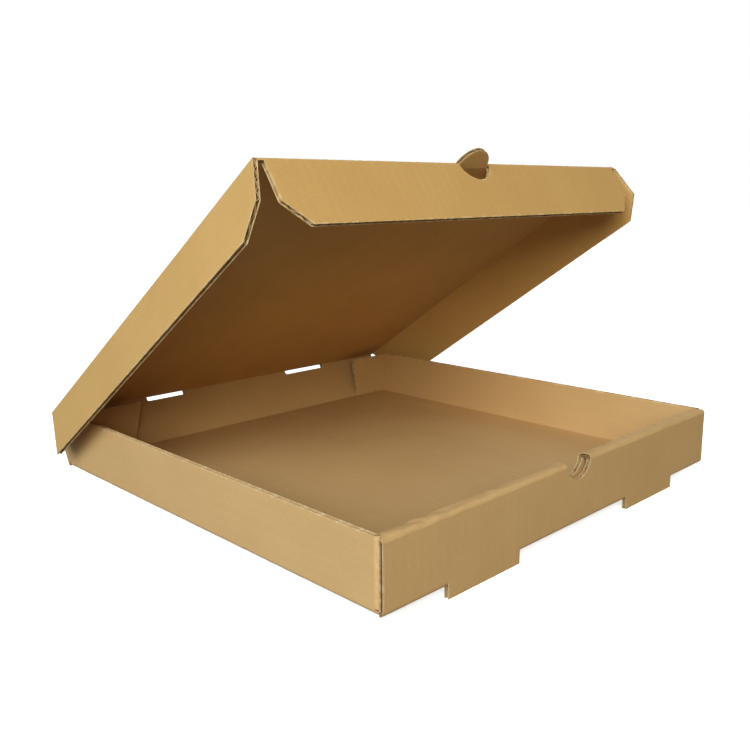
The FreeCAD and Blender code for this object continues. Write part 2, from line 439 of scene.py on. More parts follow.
@dataclass(frozen=True)
class KraftFinish:
    """Brown paper with fibres, specks, faint flute lines and worn edges."""

    name: str
    tone: Colour = (0.57, 0.345, 0.148, 1.0)
    deep: Colour = (0.5, 0.29, 0.115, 1.0)
    worn: Colour = (0.74, 0.56, 0.34, 1.0)
    speck: Colour = (0.22, 0.115, 0.045, 1.0)
    cloud_share: float = 0.34
    clouds: Grain = Grain(19.0, 5.0, 0.32, 0.7)
    fibres: Grain = Grain(420.0, 4.0, 0.3, 0.72, (0.965, 1.035), (1.0, 3.0))
    streaks: Grain = Grain(130.0, 3.0, 0.3, 0.7, (0.99, 1.012), (1.0, 0.08))
    specks: Grain = Grain(900.0, 2.0, 0.66, 0.76, (0.0, 0.45), (1.0, 2.2))
    pale_specks: Grain = Grain(620.0, 2.0, 0.66, 0.78, (0.0, 0.4), (1.0, 3.0))
    wear: float = 0.75
    wear_patches: Grain = Grain(210.0, 6.0, 0.46, 0.62)
    washboard: float = 0.00003
    washboard_distortion: float = 0.6
    grain: float = 0.00002
    grain_scale: float = 700.0
    grain_detail: float = 5.0
    grain_stretch: Point2 = (1.0, 2.5)
    roughness: float = 0.86
    specular: float = 0.3

    def paper(self, sheet: NodeSheet, board: NodeSocket) -> NodeSocket:
        """Colour of the unworn paper.

        Args:
            sheet: Node layout of the material.
            board: The board's coordinates.

        Returns:
            The colour's socket.
        """
        clouds = sheet.maths("MULTIPLY", self.clouds.value(sheet, board), self.cloud_share)
        colour = sheet.mix(clouds, self.tone, self.deep)
        for grain in (self.fibres, self.streaks):
            colour = sheet.mix(1.0, colour, grain.value(sheet, board), "MULTIPLY")
        colour = sheet.mix(self.specks.value(sheet, board), colour, self.speck)
        return sheet.mix(self.pale_specks.value(sheet, board), colour, self.worn)

    def worn_edges(self, sheet: NodeSheet, board: NodeSocket) -> NodeSocket:
        """Share of worn paper, from the rim attribute and patchy noise.

        Args:
            sheet: Node layout of the material.
            board: The board's coordinates.

        Returns:
            The share's socket.
        """
        rim = sheet.add("ShaderNodeAttribute", attribute_name=RIM).outputs["Fac"]
        patches = self.wear_patches.value(sheet, board)
        return sheet.maths("MULTIPLY", sheet.maths("MULTIPLY", rim, patches), self.wear)

    def relief(self, sheet: NodeSheet, board: NodeSocket) -> NodeSocket:
        """Flute lines and paper grain as bumps.

        Args:
            sheet: Node layout of the material.
            board: The board's coordinates.

        Returns:
            The normal's socket.
        """
        lines = sheet.add("ShaderNodeTexWave", wave_type="BANDS", bands_direction="X")
        sheet.feed(lines.inputs["Vector"], board)
        lines.inputs["Scale"].default_value = WAVE_UNIT / (FLUTE_PITCH * MM)
        lines.inputs["Distortion"].default_value = self.washboard_distortion
        first = sheet.add("ShaderNodeBump")
        first.inputs["Distance"].default_value = self.washboard
        sheet.feed(first.inputs["Height"], lines.outputs["Fac"])
        second = sheet.add("ShaderNodeBump")
        second.inputs["Distance"].default_value = self.grain
        fine = sheet.noise(board, self.grain_scale, self.grain_detail, self.grain_stretch)
        sheet.feed(second.inputs["Height"], fine)
        sheet.feed(second.inputs["Normal"], first.outputs["Normal"])
        return second.outputs["Normal"]

    def material(self) -> Material:
        """The finish as a material.

        Returns:
            The new material.
        """
        material = bpy.data.materials.new(self.name)
        material.use_nodes = True
        sheet = NodeSheet(material.node_tree)
        shader = material.node_tree.nodes["Principled BSDF"]
        board = sheet.add("ShaderNodeUVMap", uv_map=BOARD_UV).outputs["UV"]
        colour = sheet.mix(self.worn_edges(sheet, board), self.paper(sheet, board), self.worn)
        sheet.feed(shader.inputs["Base Color"], colour)
        sheet.feed(shader.inputs["Normal"], self.relief(sheet, board))
        shader.inputs["Roughness"].default_value = self.roughness
        shader.inputs["Specular IOR Level"].default_value = self.specular
        return material


@dataclass(frozen=True)
class BoardFinishes:
    """The finishes of one board piece, in the order of Layer."""

    liner: KraftFinish = KraftFinish("kraft_liner")
    cut_edge: KraftFinish = KraftFinish(
        "cut_liner_edge", tone=(0.66, 0.49, 0.29, 1.0), deep=(0.52, 0.35, 0.18, 1.0), washboard=0.0)
    # The fluted medium's tone and deep colours are darker than the liner's. Part of this is the medium's own
    # browner paper, and part is painted shade of the flute hollows and of the gaps between the board's
    # layers, as at the thumb notch.
    flutes: KraftFinish = KraftFinish(
        "fluted_medium_painted_shade", tone=(0.31, 0.18, 0.08, 1.0), deep=(0.21, 0.115, 0.048, 1.0),
        worn=(0.56, 0.39, 0.22, 1.0), washboard=0.0)

    def materials(self) -> list[Material]:
        """One material for each Layer."""
        return [self.liner.material(), self.cut_edge.material(), self.flutes.material()]


# The lid's pieces get a warmer, more saturated copy of the kraft liner. This is painted warm light from
# above on the lid, not a different paper.
LID_FINISHES = BoardFinishes(liner=KraftFinish(
    "lid_kraft_liner_painted_warm_light", tone=(0.572, 0.329, 0.112, 1.0), deep=(0.502, 0.276, 0.087, 1.0),
    worn=(0.74, 0.54, 0.3, 1.0)))


@dataclass(frozen=True)
class Workshop:
    """Turns finished meshes into pieces that ride on the frame."""

    materials: list[Material]
    board: CorrugatedBoard
    sharp_angle: float = math.radians(36.0)

    def piece(self, name: str, mesh: BMesh, turn: Matrix) -> Object:
        """A finished object at the origin, with its place in its mesh.

        Args:
            name: The piece's name.
            mesh: Its closed shells, in millimetres in the shut box. It is freed.
            turn: The turn that opens the box.

        Returns:
            The new object.
        """
        bmesh.ops.transform(mesh, matrix=Matrix.Scale(MM, 4) @ turn, verts=mesh.verts)
        bmesh.ops.recalc_face_normals(mesh, faces=mesh.faces)
        for edge in mesh.edges:
            edge.smooth = edge.calc_face_angle(math.pi) < self.sharp_angle
        data = bpy.data.meshes.new(name)
        mesh.to_mesh(data)
        mesh.free()
        for material in self.materials:
            data.materials.append(material)
        made = bpy.data.objects.new(name, data)
        bpy.context.scene.collection.objects.link(made)
        log.info("%s: %d faces", name, len(data.polygons))
        return made


def arc(centre: Point2, radius: float, first: float, last: float, steps: int = 14) -> list[Point2]:
    """Points of a round cut.

    Args:
        centre: Centre of the circle.
        radius: Its radius.
        first: Angle of the first point, in degrees from +p towards +q.
        last: Angle of the last point.
        steps: Number of chords.

    Returns:
        The points, from first to last.
    """
    points = []
    for step in range(steps + 1):
        angle = math.radians(first + (last - first) * step / steps)
        points.append((centre[0] + radius * math.cos(angle), centre[1] + radius * math.sin(angle)))
    return points


def ragged(points: list[Point2], amount: float, step: float = 1.7,
           spread: float = 0.3) -> list[Point2]:
    """Points of a cut, moved a little so that it looks torn. The two ends stay.

    Args:
        points: The cut's points.
        amount: The largest move, in millimetres.
        step: Noise cells from one point to the next.
        spread: Noise cells for a millimetre of p.

    Returns:
        The moved points.
    """
    moved = list(points)
    for number in range(1, len(points) - 1):
        p, q = points[number]
        shift = noise.noise_vector(Vector((number * step, p * spread, q)))
        moved[number] = (p + amount * shift.x, q + amount * shift.y)
    return moved


def frame_of(origin: Vector, across: Vector, along: Vector, outward: Vector) -> Matrix:
    """Matrix from a panel's own coordinates to the shut box.

    Args:
        origin: Where the panel's p, q and n are 0, on its inner face.
        across: Direction of p, across the flutes.
        along: Direction of q, along the flutes.
        outward: Direction of n, from the inner to the outer face.

    Returns:
        The 4x4 matrix.
    """
    matrix = Matrix((across, along, outward)).transposed().to_4x4()
    matrix.translation = origin
    return matrix


def new_mesh() -> BMesh:
    """An empty mesh with the rim attribute and the board map.

    Returns:
        The new mesh.
    """
    mesh = bmesh.new()
    mesh.verts.layers.float.new(RIM)
    mesh.loops.layers.uv.new(BOARD_UV)
    return mesh


def only(kind: type, parts: list) -> list:
    """The mesh parts of one kind."""
    return [part for part in parts if isinstance(part, kind)]


def map_board(mesh: BMesh, flat: Callable[[Vector], Point2]) -> None:
    """Fills the board map.

    Args:
        mesh: A piece's mesh.
        flat: Gives a point's place on the flat board, in millimetres.
    """
    uv = mesh.loops.layers.uv[BOARD_UV]
    for face in mesh.faces:
        for loop in face.loops:
            across, along = flat(loop.vert.co)
            loop[uv].uv = (across * MM, along * MM)


def bare_line(mesh: BMesh) -> list:
    """Edges and points that have no face yet, in the mesh's own order."""
    return [part for parts in (mesh.edges, mesh.verts) for part in parts if not part.link_faces]


def untagged(mesh: BMesh) -> list[BMFace]:
    """The newest skin's faces. Those of finished skins are tagged."""
    return [face for face in mesh.faces if not face.tag]


def finish_skin(mesh: BMesh, thickness: float, outward: Callable[[Vector], Vector],
                layer: Layer) -> None:
    """Gives the newest skin its thickness and its material, and tags it.

    Args:
        mesh: A piece's mesh.
        thickness: The skin's thickness, inwards.
        outward: Gives the outward direction at a point.
        layer: The skin's material.
    """
    raised = bmesh.ops.extrude_face_region(mesh, geom=untagged(mesh))["geom"]
    for vert in only(BMVert, raised):
        vert.co -= outward(vert.co) * thickness
    for face in untagged(mesh):
        face.tag = True
        face.smooth = True
        face.material_index = layer.value


def ripple(first: float, second: float, scale: Point2, seed: float) -> float:
    """Smooth noise over a skin.

    Args:
        first: Place along the skin.
        second: Place across it.
        scale: Noise cells for one unit of each.
        seed: Tells one pattern from another.

    Returns:
        The noise, from -1 to 1.
    """
    return noise.noise(Vector((first * scale[0], second * scale[1], seed)))


@dataclass(frozen=True)
class Panel:
    """One flat panel: two liners with the fluted medium between them.

    The outline's points are (p, q), across and along the flutes. Every line along the flutes
    crosses it once.
    """

    name: str
    outline: list[Point2]
    place: Matrix
    turn: Matrix
    blank: Point2 = (0.0, 0.0)
    folds_p: tuple[float, ...] = ()
    folds_q: tuple[float, ...] = ()

    def on_fold(self, point: Vector) -> bool:
        """Whether a point of the outline lies on a crease, where nothing was cut.

        Args:
            point: The point.

        Returns:
            True on a crease.
        """
        return (any(abs(point.x - line) < ON_LINE for line in self.folds_p)
                or any(abs(point.y - line) < ON_LINE for line in self.folds_q))

    def span_at(self, p: float) -> Point2:
        """Lowest and highest q of the outline at one p.

        Args:
            p: Place across the flutes.

        Returns:
            The two limits.
        """
        found = []
        for (p0, q0), (p1, q1) in zip(self.outline, self.outline[1:] + self.outline[:1]):
            if min(p0, p1) <= p <= max(p0, p1) and abs(p1 - p0) > TINY:
                found.append(q0 + (q1 - q0) * (p - p0) / (p1 - p0))
        return min(found), max(found)

    def add_liner(self, mesh: BMesh, board: CorrugatedBoard, outer: bool) -> None:
        """Adds one liner, its rim pressed in where the board was cut.

        Args:
            mesh: The panel's mesh.
            board: The board's sizes.
            outer: Whether it is the liner on the box's outside.
        """
        rim = mesh.verts.layers.float[RIM]
        raise_by = board.liner if outer else -board.liner
        glued = board.thickness - board.liner if outer else board.liner
        sheet = mesh.faces.new([mesh.verts.new((p, q, glued)) for p, q in self.outline])
        for edge in list(sheet.edges):
            cuts = int(edge.calc_length() // board.rim_step)
            if cuts:
                bmesh.ops.bisect_edges(mesh, edges=[edge], cuts=cuts)
        for vert in sheet.verts:
            vert[rim] = 1.0
        raised = bmesh.ops.extrude_face_region(mesh, geom=[sheet])["geom"]
        lifted, top = only(BMVert, raised), only(BMFace, raised)
        bmesh.ops.translate(mesh, verts=lifted, vec=(0.0, 0.0, raise_by))
        sides = {face for vert in lifted for face in vert.link_faces} - set(top)
        ring = bmesh.ops.inset_region(
            mesh, faces=top, thickness=board.rim_width, use_even_offset=True, use_boundary=True)
        for face in sides:
            face.material_index = Layer.CUT_EDGE.value
        cut = {vert for face in ring["faces"] for vert in face.verts
               if any(side in sides for side in vert.link_faces)}
        for vert in cut:
            if self.on_fold(vert.co):
                vert[rim] = 0.0
                continue
            vert[rim] = 1.0
            spot = vert.co * board.rim_noise + self.place.translation
            dent = board.rim_dent * max(0.0, noise.noise(spot))
            vert.co.z -= math.copysign(board.rim_press + dent, raise_by)
        for vert in {vert for face in ring["faces"] for vert in face.verts} - cut:
            vert[rim] = 0.0

    def add_flutes(self, mesh: BMesh, board: CorrugatedBoard) -> None:
        """Adds the wavy medium between the liners.

        Args:
            mesh: The panel's mesh.
            board: The board's sizes.
        """
        low = min(p for p, _ in self.outline) + board.core_setback
        high = max(p for p, _ in self.outline) - board.core_setback
        steps = max(2, round((high - low) / board.pitch * board.steps_per_flute))
        half = 0.5
        made = bmesh.ops.create_grid(mesh, x_segments=steps, y_segments=1, size=half)["verts"]
        faces = set()
        for vert in made:
            p = low + (high - low) * (vert.co.x + half)
            limits = self.span_at(p)
            q = limits[1] - board.core_setback if vert.co.y > 0 else limits[0] + board.core_setback
            wave = math.sin(math.tau * (p + self.blank[0]) / board.pitch)
            vert.co = Vector((p, q, board.thickness / 2 + board.amplitude * wave))
            faces.update(vert.link_faces)
        rim = mesh.verts.layers.float[RIM]
        sheet = [face for face in mesh.faces if face in faces]
        shell = bmesh.ops.solidify(mesh, geom=sheet, thickness=board.medium)["geom"]
        for part in shell + list(faces):
            if isinstance(part, BMFace) and part.is_valid:
                faces.add(part)
        for face in list(faces):
            for vert in face.verts:
                vert[rim] = board.flute_wear
                faces.update(vert.link_faces)
        mesh.normal_update()
        for face in faces:
            end_on = abs(face.normal.y) > END_ON
            face.material_index = (Layer.CUT_EDGE if end_on else Layer.FLUTES).value
            face.smooth = not end_on

    def build(self, workshop: Workshop) -> Object:
        """The panel as a finished object.

        Args:
            workshop: Holds the board and its materials.

        Returns:
            The new object.
        """
        mesh = new_mesh()
        self.add_liner(mesh, workshop.board, outer=True)
        self.add_liner(mesh, workshop.board, outer=False)
        self.add_flutes(mesh, workshop.board)
        map_board(mesh, lambda point: (point.x + self.blank[0], point.y + self.blank[1]))
        return workshop.piece(self.name, mesh, self.turn @ self.place)


@dataclass(frozen=True)
class FoldSizes:
    """How a scored fold is crushed, in millimetres."""

    steps: int = 8
    spacing: float = 3.2
    wrinkle: float = 0.14
    wrinkle_scale: Point2 = (0.16, 2.2)
    flute_wave: float = 0.06
    crushed: tuple[float, ...] = (2.25, 1.35)
    crushed_thickness: float = 0.75
    wear: float = 0.3


@dataclass(frozen=True)
class Fold:
    """The rounded outside of a fold, about the line where the panels' inner faces meet."""

    name: str
    centre: Vector
    axis: Vector
    first: Vector
    span: float
    start: float
    end: float
    turn: Matrix
    along_flutes: bool = False
    sizes: FoldSizes = FoldSizes()

    def direction(self, share: float) -> Vector:
        """Direction from the crease line at a share of the fold's turn."""
        return Matrix.Rotation(math.radians(self.span * share), 3, self.axis) @ self.first

    def chord(self, board: CorrugatedBoard) -> tuple[Vector, Vector]:
        """Ends of the fold's outside in the row frame, in metres.

        Args:
            board: The board's sizes.

        Returns:
            The point on the first panel and the point on the second.
        """
        middle = self.centre + self.axis * (self.start + self.end) / 2
        ends = [self.turn @ (middle + self.direction(share) * board.thickness) for share in (0, 1)]
        return ends[0] * MM, ends[1] * MM

    def outward(self, point: Vector) -> Vector:
        """Unit direction from the crease line to a point."""
        reach = point - self.centre
        return (reach - self.axis * reach.dot(self.axis)).normalized()

    def flat(self, point: Vector) -> Point2:
        """A point's place on the flat board, as if the fold's outside were rolled out.

        Args:
            point: A point of the fold.

        Returns:
            The place across and along the flutes, in millimetres.
        """
        reach = point - self.centre
        place = reach.dot(self.axis)
        bend = self.first.angle(reach - self.axis * place) * BOARD_THICKNESS
        return (bend, place) if self.along_flutes else (place, bend)

    def add_layer(self, mesh: BMesh, radius: float, thickness: float, layer: Layer) -> None:
        """Adds one curved skin.

        Args:
            mesh: The fold's mesh.
            radius: Radius of its outside.
            thickness: Its thickness, inwards.
            layer: Its material.
        """
        rim = mesh.verts.layers.float[RIM]
        ends = [mesh.verts.new(self.centre + self.axis * place + self.first * radius)
                for place in (self.start, self.end)]
        line = mesh.edges.new(ends)
        cuts = max(1, int((self.end - self.start) / self.sizes.spacing))
        bmesh.ops.bisect_edges(mesh, edges=[line], cuts=cuts)
        bmesh.ops.spin(mesh, geom=bare_line(mesh), cent=self.centre, axis=self.axis,
                       angle=math.radians(self.span), steps=self.sizes.steps)
        for vert in {vert for face in untagged(mesh) for vert in face.verts}:
            place = (vert.co - self.centre).dot(self.axis)
            outward = self.outward(vert.co)
            bend = self.first.angle(outward) / max(TINY, math.radians(self.span))
            crown = math.sin(math.pi * min(1.0, bend))
            rough = ripple(place, bend, self.sizes.wrinkle_scale, radius + self.centre.z)
            flutes = 0.0 if self.along_flutes else math.sin(math.tau * place / FLUTE_PITCH)
            lift = self.sizes.wrinkle * rough + self.sizes.flute_wave * flutes
            vert.co += outward * crown * lift
            vert[rim] = self.sizes.wear * crown
        finish_skin(mesh, thickness, self.outward, layer)

    def build(self, workshop: Workshop) -> Object:
        """The fold as a finished object.

        Args:
            workshop: Holds the board and its materials.

        Returns:
            The new object.
        """
        board = workshop.board
        mesh = new_mesh()
        self.add_layer(mesh, board.thickness, board.liner, Layer.LINER)
        for radius in self.sizes.crushed:
            self.add_layer(mesh, radius, self.sizes.crushed_thickness, Layer.FLUTES)
        map_board(mesh, self.flat)
        return workshop.piece(self.name, mesh, self.turn)


@dataclass(frozen=True)
class RoundCut:
    """A round cut whose chord lies on a panel's edge."""

    half_width: float
    reach: float

    @property
    def radius(self) -> float:
        """Radius through both ends of the chord and the cut's deepest point."""
        return (self.half_width ** 2 + self.reach ** 2) / (2 * self.reach)

    def points(self) -> list[Point2]:
        """Points from +p to -p, bulging towards +q from a chord at q = 0.

        Returns:
            The points.
        """
        centre_q = self.reach - self.radius
        first = math.degrees(math.atan2(-centre_q, self.half_width))
        return arc((0.0, centre_q), self.radius, first, 180.0 - first)


@dataclass(frozen=True)
class FrontRoll:
    """Half of the front wall's rolled top, from the thumb notch to the end."""

    sizes: BoxSizes
    side: Side
    notch_radius: float
    notch_depth: float
    front_half: float
    spacing: float = 1.6
    quarter_steps: int = 6
    flat_steps: int = 2
    shoulder: float = 0.5
    wrinkle: float = 0.22
    wrinkle_scale: Point2 = (0.11, 0.25)
    wrinkle_seed: float = 3.0
    crease_scale: Point2 = (0.5, 0.6)
    crease_seed: float = 9.0
    crease_share: float = 0.4
    sag_share: float = 0.4
    wear: float = 0.05
    inner_radii: tuple[float, ...] = (1.5, 0.5)

    @property
    def front(self) -> Vector:
        """Centre of the front quarter turn."""
        return Vector((0, self.sizes.front_fold_y, self.sizes.roll_z))

    @property
    def back(self) -> Vector:
        """Centre of the back quarter turn."""
        return Vector((0, self.sizes.inner_panel_y, self.sizes.roll_z))

    def outward(self, point: Vector) -> Vector:
        """Direction away from the roll's middle line, with the flat top taken out.

        Args:
            point: A point of the skin.

        Returns:
            The unit vector.
        """
        core = min(max(point.y, self.front.y), self.back.y)
        return Vector((0, point.y - core, point.z - self.sizes.roll_z)).normalized()

    def sweep(self, mesh: BMesh, radius: float) -> list[BMVert]:
        """Sweeps one skin over the top: a quarter turn, a flat strip and a quarter turn.

        Args:
            mesh: The roll's mesh.
            radius: The skin's distance from the turns' centres.

        Returns:
            The skin's vertices.
        """
        before = set(mesh.verts)
        near = self.side.value * self.notch_radius
        far = self.side.value * self.front_half
        line = mesh.edges.new([mesh.verts.new((x, self.front.y - radius, self.front.z))
                               for x in (near, far)])
        bmesh.ops.bisect_edges(mesh, edges=[line], cuts=int(abs(far - near) / self.spacing))
        quarter = {"axis": X_AXIS, "angle": math.radians(-QUARTER), "steps": self.quarter_steps}
        start = bare_line(mesh)
        last = bmesh.ops.spin(mesh, geom=start, cent=self.front, **quarter)["geom_last"]
        for _ in range(self.flat_steps):
            last = bmesh.ops.extrude_edge_only(mesh, edges=only(BMEdge, last))["geom"]
            step = (self.back.y - self.front.y) / self.flat_steps
            bmesh.ops.translate(mesh, verts=only(BMVert, last), vec=(0, step, 0))
        last = [part for part in last if not isinstance(part, BMFace)]
        bmesh.ops.spin(mesh, geom=last, cent=self.back, **quarter)
        return [vert for vert in mesh.verts if vert not in before]

    def add_skin(self, mesh: BMesh, radius: float, thickness: float, layer: Layer) -> None:
        """Adds one skin, cut round at the notch, wrinkled and worn on top.

        Args:
            mesh: The roll's mesh.
            radius: The skin's distance from the turns' centres.
            thickness: Its thickness, inwards.
            layer: Its material.
        """
        rim = mesh.verts.layers.float[RIM]
        notch_z = self.sizes.wall_height + self.notch_radius - self.notch_depth
        for vert in self.sweep(mesh, radius):
            if abs(vert.co.x) < self.notch_radius + ON_LINE:
                rise = notch_z - vert.co.z
                vert.co.x = self.side.value * math.sqrt(self.notch_radius ** 2 - rise ** 2)
            elif (abs(vert.co.x) > self.front_half - ON_LINE
                  and vert.co.y > self.front.y - self.shoulder):
                vert.co.x = self.side.value * self.sizes.rolled_half
            outward = self.outward(vert.co)
            top = max(0.0, outward.z)
            rough = ripple(vert.co.x, vert.co.y, self.wrinkle_scale, self.wrinkle_seed)
            fine = ripple(vert.co.x, vert.co.y, self.crease_scale, self.crease_seed)
            lift = rough + self.crease_share * fine - self.sag_share
            vert.co += outward * (top * self.wrinkle * lift)
            vert[rim] = self.wear * top
        finish_skin(mesh, thickness, self.outward, layer)

    def build(self, workshop: Workshop) -> Object:
        """The half roll as a finished object.

        Args:
            workshop: Holds the board and its materials.

        Returns:
            The new object.
        """
        board = workshop.board
        mesh = new_mesh()
        self.add_skin(mesh, board.thickness, board.liner, Layer.LINER)
        for radius in self.inner_radii:
            self.add_skin(mesh, radius, board.medium, Layer.FLUTES)
        start = OnBlank.FRONT_WALL.value[1]
        map_board(mesh, lambda point: (point.x, start + point.y + point.z))
        return workshop.piece(f"{self.side.label}_front_roll", mesh, UNTURNED)


@dataclass(frozen=True)
class Tray:
    """Base, side walls, rolled front wall with its feet, and trapped front dust flaps."""

    sizes: BoxSizes
    foot_start: float = 57.0
    foot_end: float = 117.0
    foot_drop: float = 7.0
    base_slot_depth: float = 7.0
    lock_tab_start: float = 68.0
    lock_tab_end: float = 106.0
    lock_tab_drop: float = 2.0
    notch_width: float = 25.4
    notch_depth: float = 12.0
    notch_tear: float = 0.45
    notch_steps: int = 26
    front_dust_length: float = 45.0

    def base(self) -> Panel:
        """Base panel with the slots that the feet leave.

        Returns:
            The panel.
        """
        half = self.sizes.inner_x
        front = self.sizes.front_fold_y
        back = self.sizes.base_crease.y
        deep = front + self.base_slot_depth
        outline = [(-half, back), (-half, front)]
        for start, end in ((-self.foot_end, -self.foot_start), (self.foot_start, self.foot_end)):
            outline += [(start, front), (start, deep), (end, deep), (end, front)]
        outline += [(half, front), (half, back)]
        place = frame_of(Vector((0, 0, self.sizes.board)), X_AXIS, Y_AXIS, -Z_AXIS)
        return Panel("base_panel", outline, place, UNTURNED,
                     folds_p=(-half, half), folds_q=(front, back))

    def side_wall(self, side: Side) -> Panel:
        """A side wall, its flutes level.

        Args:
            side: Which wall.

        Returns:
            The panel.
        """
        high = self.sizes.wall_height - self.sizes.board
        front, back = self.sizes.front_dust_crease_y, self.sizes.dust_crease_y
        outline = [(0, front), (high, front), (high, back), (0, back)]
        origin = Vector((side.value * self.sizes.inner_x, 0, self.sizes.board))
        place = frame_of(origin, Z_AXIS, Y_AXIS, X_AXIS * side.value)
        return Panel(f"{side.label}_side_wall", outline, place, UNTURNED,
                     OnBlank.SIDE_WALL.on(side), folds_p=(0,), folds_q=(front, back))

    def front_layer(self, name: str, y: float, outward: Vector, half: float, feet: Point2,
                    drop: float) -> Panel:
        """One upright layer of the front wall, with the thumb notch and two parts that go down.

        Args:
            name: The panel's name.
            y: Its inner face.
            outward: Direction of its outer face.
            half: Half its length.
            feet: Start and end of the parts that go below the base.
            drop: How far they go below the base's top.

        Returns:
            The panel.
        """
        high = self.sizes.roll_z - self.sizes.board
        radius = self.notch_width / 2
        centre_q = self.sizes.wall_height + radius - self.notch_depth - self.sizes.board
        first = math.degrees(math.asin((high - centre_q) / radius))
        cut = arc((0.0, centre_q), radius, 180.0 - first, 360.0 + first, self.notch_steps)
        notch = ragged(cut, self.notch_tear)
        outline = [(-half, high), *notch, (half, high), (half, 0.0)]
        for start, end in ((feet[1], feet[0]), (-feet[0], -feet[1])):
            outline += [(start, 0.0), (start, -drop), (end, -drop), (end, 0.0)]
        outline.append((-half, 0.0))
        place = frame_of(Vector((0, y, self.sizes.board)), X_AXIS, Z_AXIS, outward)
        return Panel(name, outline, place, UNTURNED, OnBlank.FRONT_WALL.value,
                     folds_q=(0.0, high))

    def front_dust_flap(self, side: Side) -> Panel:
        """A flap of the side wall, trapped inside the front wall.

        Args:
            side: Which flap.

        Returns:
            The panel.
        """
        low = self.sizes.flap_bottom
        high = self.sizes.roll_z - self.sizes.layer_gap
        long = self.front_dust_length - self.sizes.board
        outline = [(low, 0.0), (high, 0.0), (high, long), (low, long)]
        origin = Vector((side.value * self.sizes.inner_x, self.sizes.front_dust_crease_y, 0))
        place = frame_of(origin, Z_AXIS, X_AXIS * -side.value, -Y_AXIS)
        return Panel(f"{side.label}_front_dust_flap", outline, place, UNTURNED,
                     OnBlank.FRONT_DUST.on(side), folds_q=(0.0,))

    def side_fold(self, side: Side) -> Fold:
        """Fold between the base and a side wall.

        Args:
            side: Which fold.

        Returns:
            The fold.
        """
        centre = Vector((side.value * self.sizes.inner_x, 0, self.sizes.board))
        return Fold(f"{side.label}_bottom_fold", centre, Y_AXIS, -Z_AXIS,
                    -QUARTER * side.value, self.sizes.front_fold_y, self.sizes.base_crease.y,
                    UNTURNED, along_flutes=True)

    def front_folds(self) -> list[Fold]:
        """Fold between the base and the front wall, left out at the feet.

        Returns:
            The strips, from left to right.
        """
        centre = Vector((0, self.sizes.front_fold_y, self.sizes.board))
        half = self.sizes.half_width - self.sizes.front_panel_inset
        spans = {"left": (-half, -self.foot_end), "middle": (-self.foot_start, self.foot_start),
                 "right": (self.foot_end, half)}
        return [Fold(f"{name}_front_bottom_fold", centre, X_AXIS, -Z_AXIS, -QUARTER, *span,
                     UNTURNED) for name, span in spans.items()]

    def corner_fold(self, side: Side) -> Fold:
        """Fold between a side wall and its front dust flap.

        Args:
            side: Which fold.

        Returns:
            The fold.
        """
        centre = Vector((side.value * self.sizes.inner_x, self.sizes.front_dust_crease_y, 0))
        return Fold(f"{side.label}_front_corner_fold", centre, Z_AXIS, X_AXIS * side.value,
                    -QUARTER * side.value, self.sizes.flap_bottom, self.sizes.wall_height,
                    UNTURNED)

    def build(self, workshop: Workshop) -> None:
        """Builds and places every tray piece.

        Args:
            workshop: Holds the board and its materials.
        """
        sizes = self.sizes
        base = self.base().build(workshop)
        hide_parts("tray")
        drop = self.foot_drop + sizes.board
        lock_drop = self.lock_tab_drop + sizes.board
        front_half = sizes.half_width - sizes.front_panel_inset
        made = [
            base,
            self.front_layer("front_outer_panel", sizes.front_fold_y, -Y_AXIS, front_half,
                             (self.foot_start, self.foot_end), drop).build(workshop),
            self.front_layer("front_rolled_panel", sizes.inner_panel_y, Y_AXIS, sizes.rolled_half,
                             (self.lock_tab_start, self.lock_tab_end), lock_drop).build(workshop),
        ]
        for side in Side:
            made.append(self.side_wall(side).build(workshop))
            made.append(self.front_dust_flap(side).build(workshop))
            made.append(self.side_fold(side).build(workshop))
            made.append(self.corner_fold(side).build(workshop))
            roll = FrontRoll(sizes, side, self.notch_width / 2, self.notch_depth, front_half)
            made.append(roll.build(workshop))
        made.extend(fold.build(workshop) for fold in self.front_folds())
        for piece in made:
            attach(piece, Body.TRAY.value)


@dataclass(frozen=True)
class RearDustFlap:
    """A dust flap that turns on a side wall's rear end, with its fold."""

    sizes: BoxSizes
    side: Side
    body: Body
    top_length: float
    bottom_length: float
    top_drop: float = 1.4

    def build(self, workshop: Workshop) -> None:
        """Builds the flap and its fold.

        Args:
            workshop: Holds the board and its materials.
        """
        sizes = self.sizes
        name = f"{self.side.label}_rear_dust_flap"
        low, high = sizes.flap_bottom, sizes.wall_height - self.top_drop
        outline = [(low, 0.0), (high, 0.0), (high, self.top_length - sizes.board),
                   (low, self.bottom_length - sizes.board)]
        origin = Vector((self.side.value * sizes.inner_x, sizes.dust_crease_y, 0))
        place = frame_of(origin, Z_AXIS, X_AXIS * -self.side.value, Y_AXIS)
        flap = Panel(f"{name}_panel", outline, place, UNTURNED,
                     OnBlank.REAR_DUST.on(self.side), folds_q=(0.0,)).build(workshop)
        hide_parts(name)
        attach(flap, self.body.value)
        fold = Fold(f"{name}_fold", origin, Z_AXIS, X_AXIS * self.side.value,
                    QUARTER * self.side.value, low, high, UNTURNED)
        strip = fold.build(workshop)
        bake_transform(strip, Body.TRAY.value, self.body.value, *fold.chord(workshop.board))


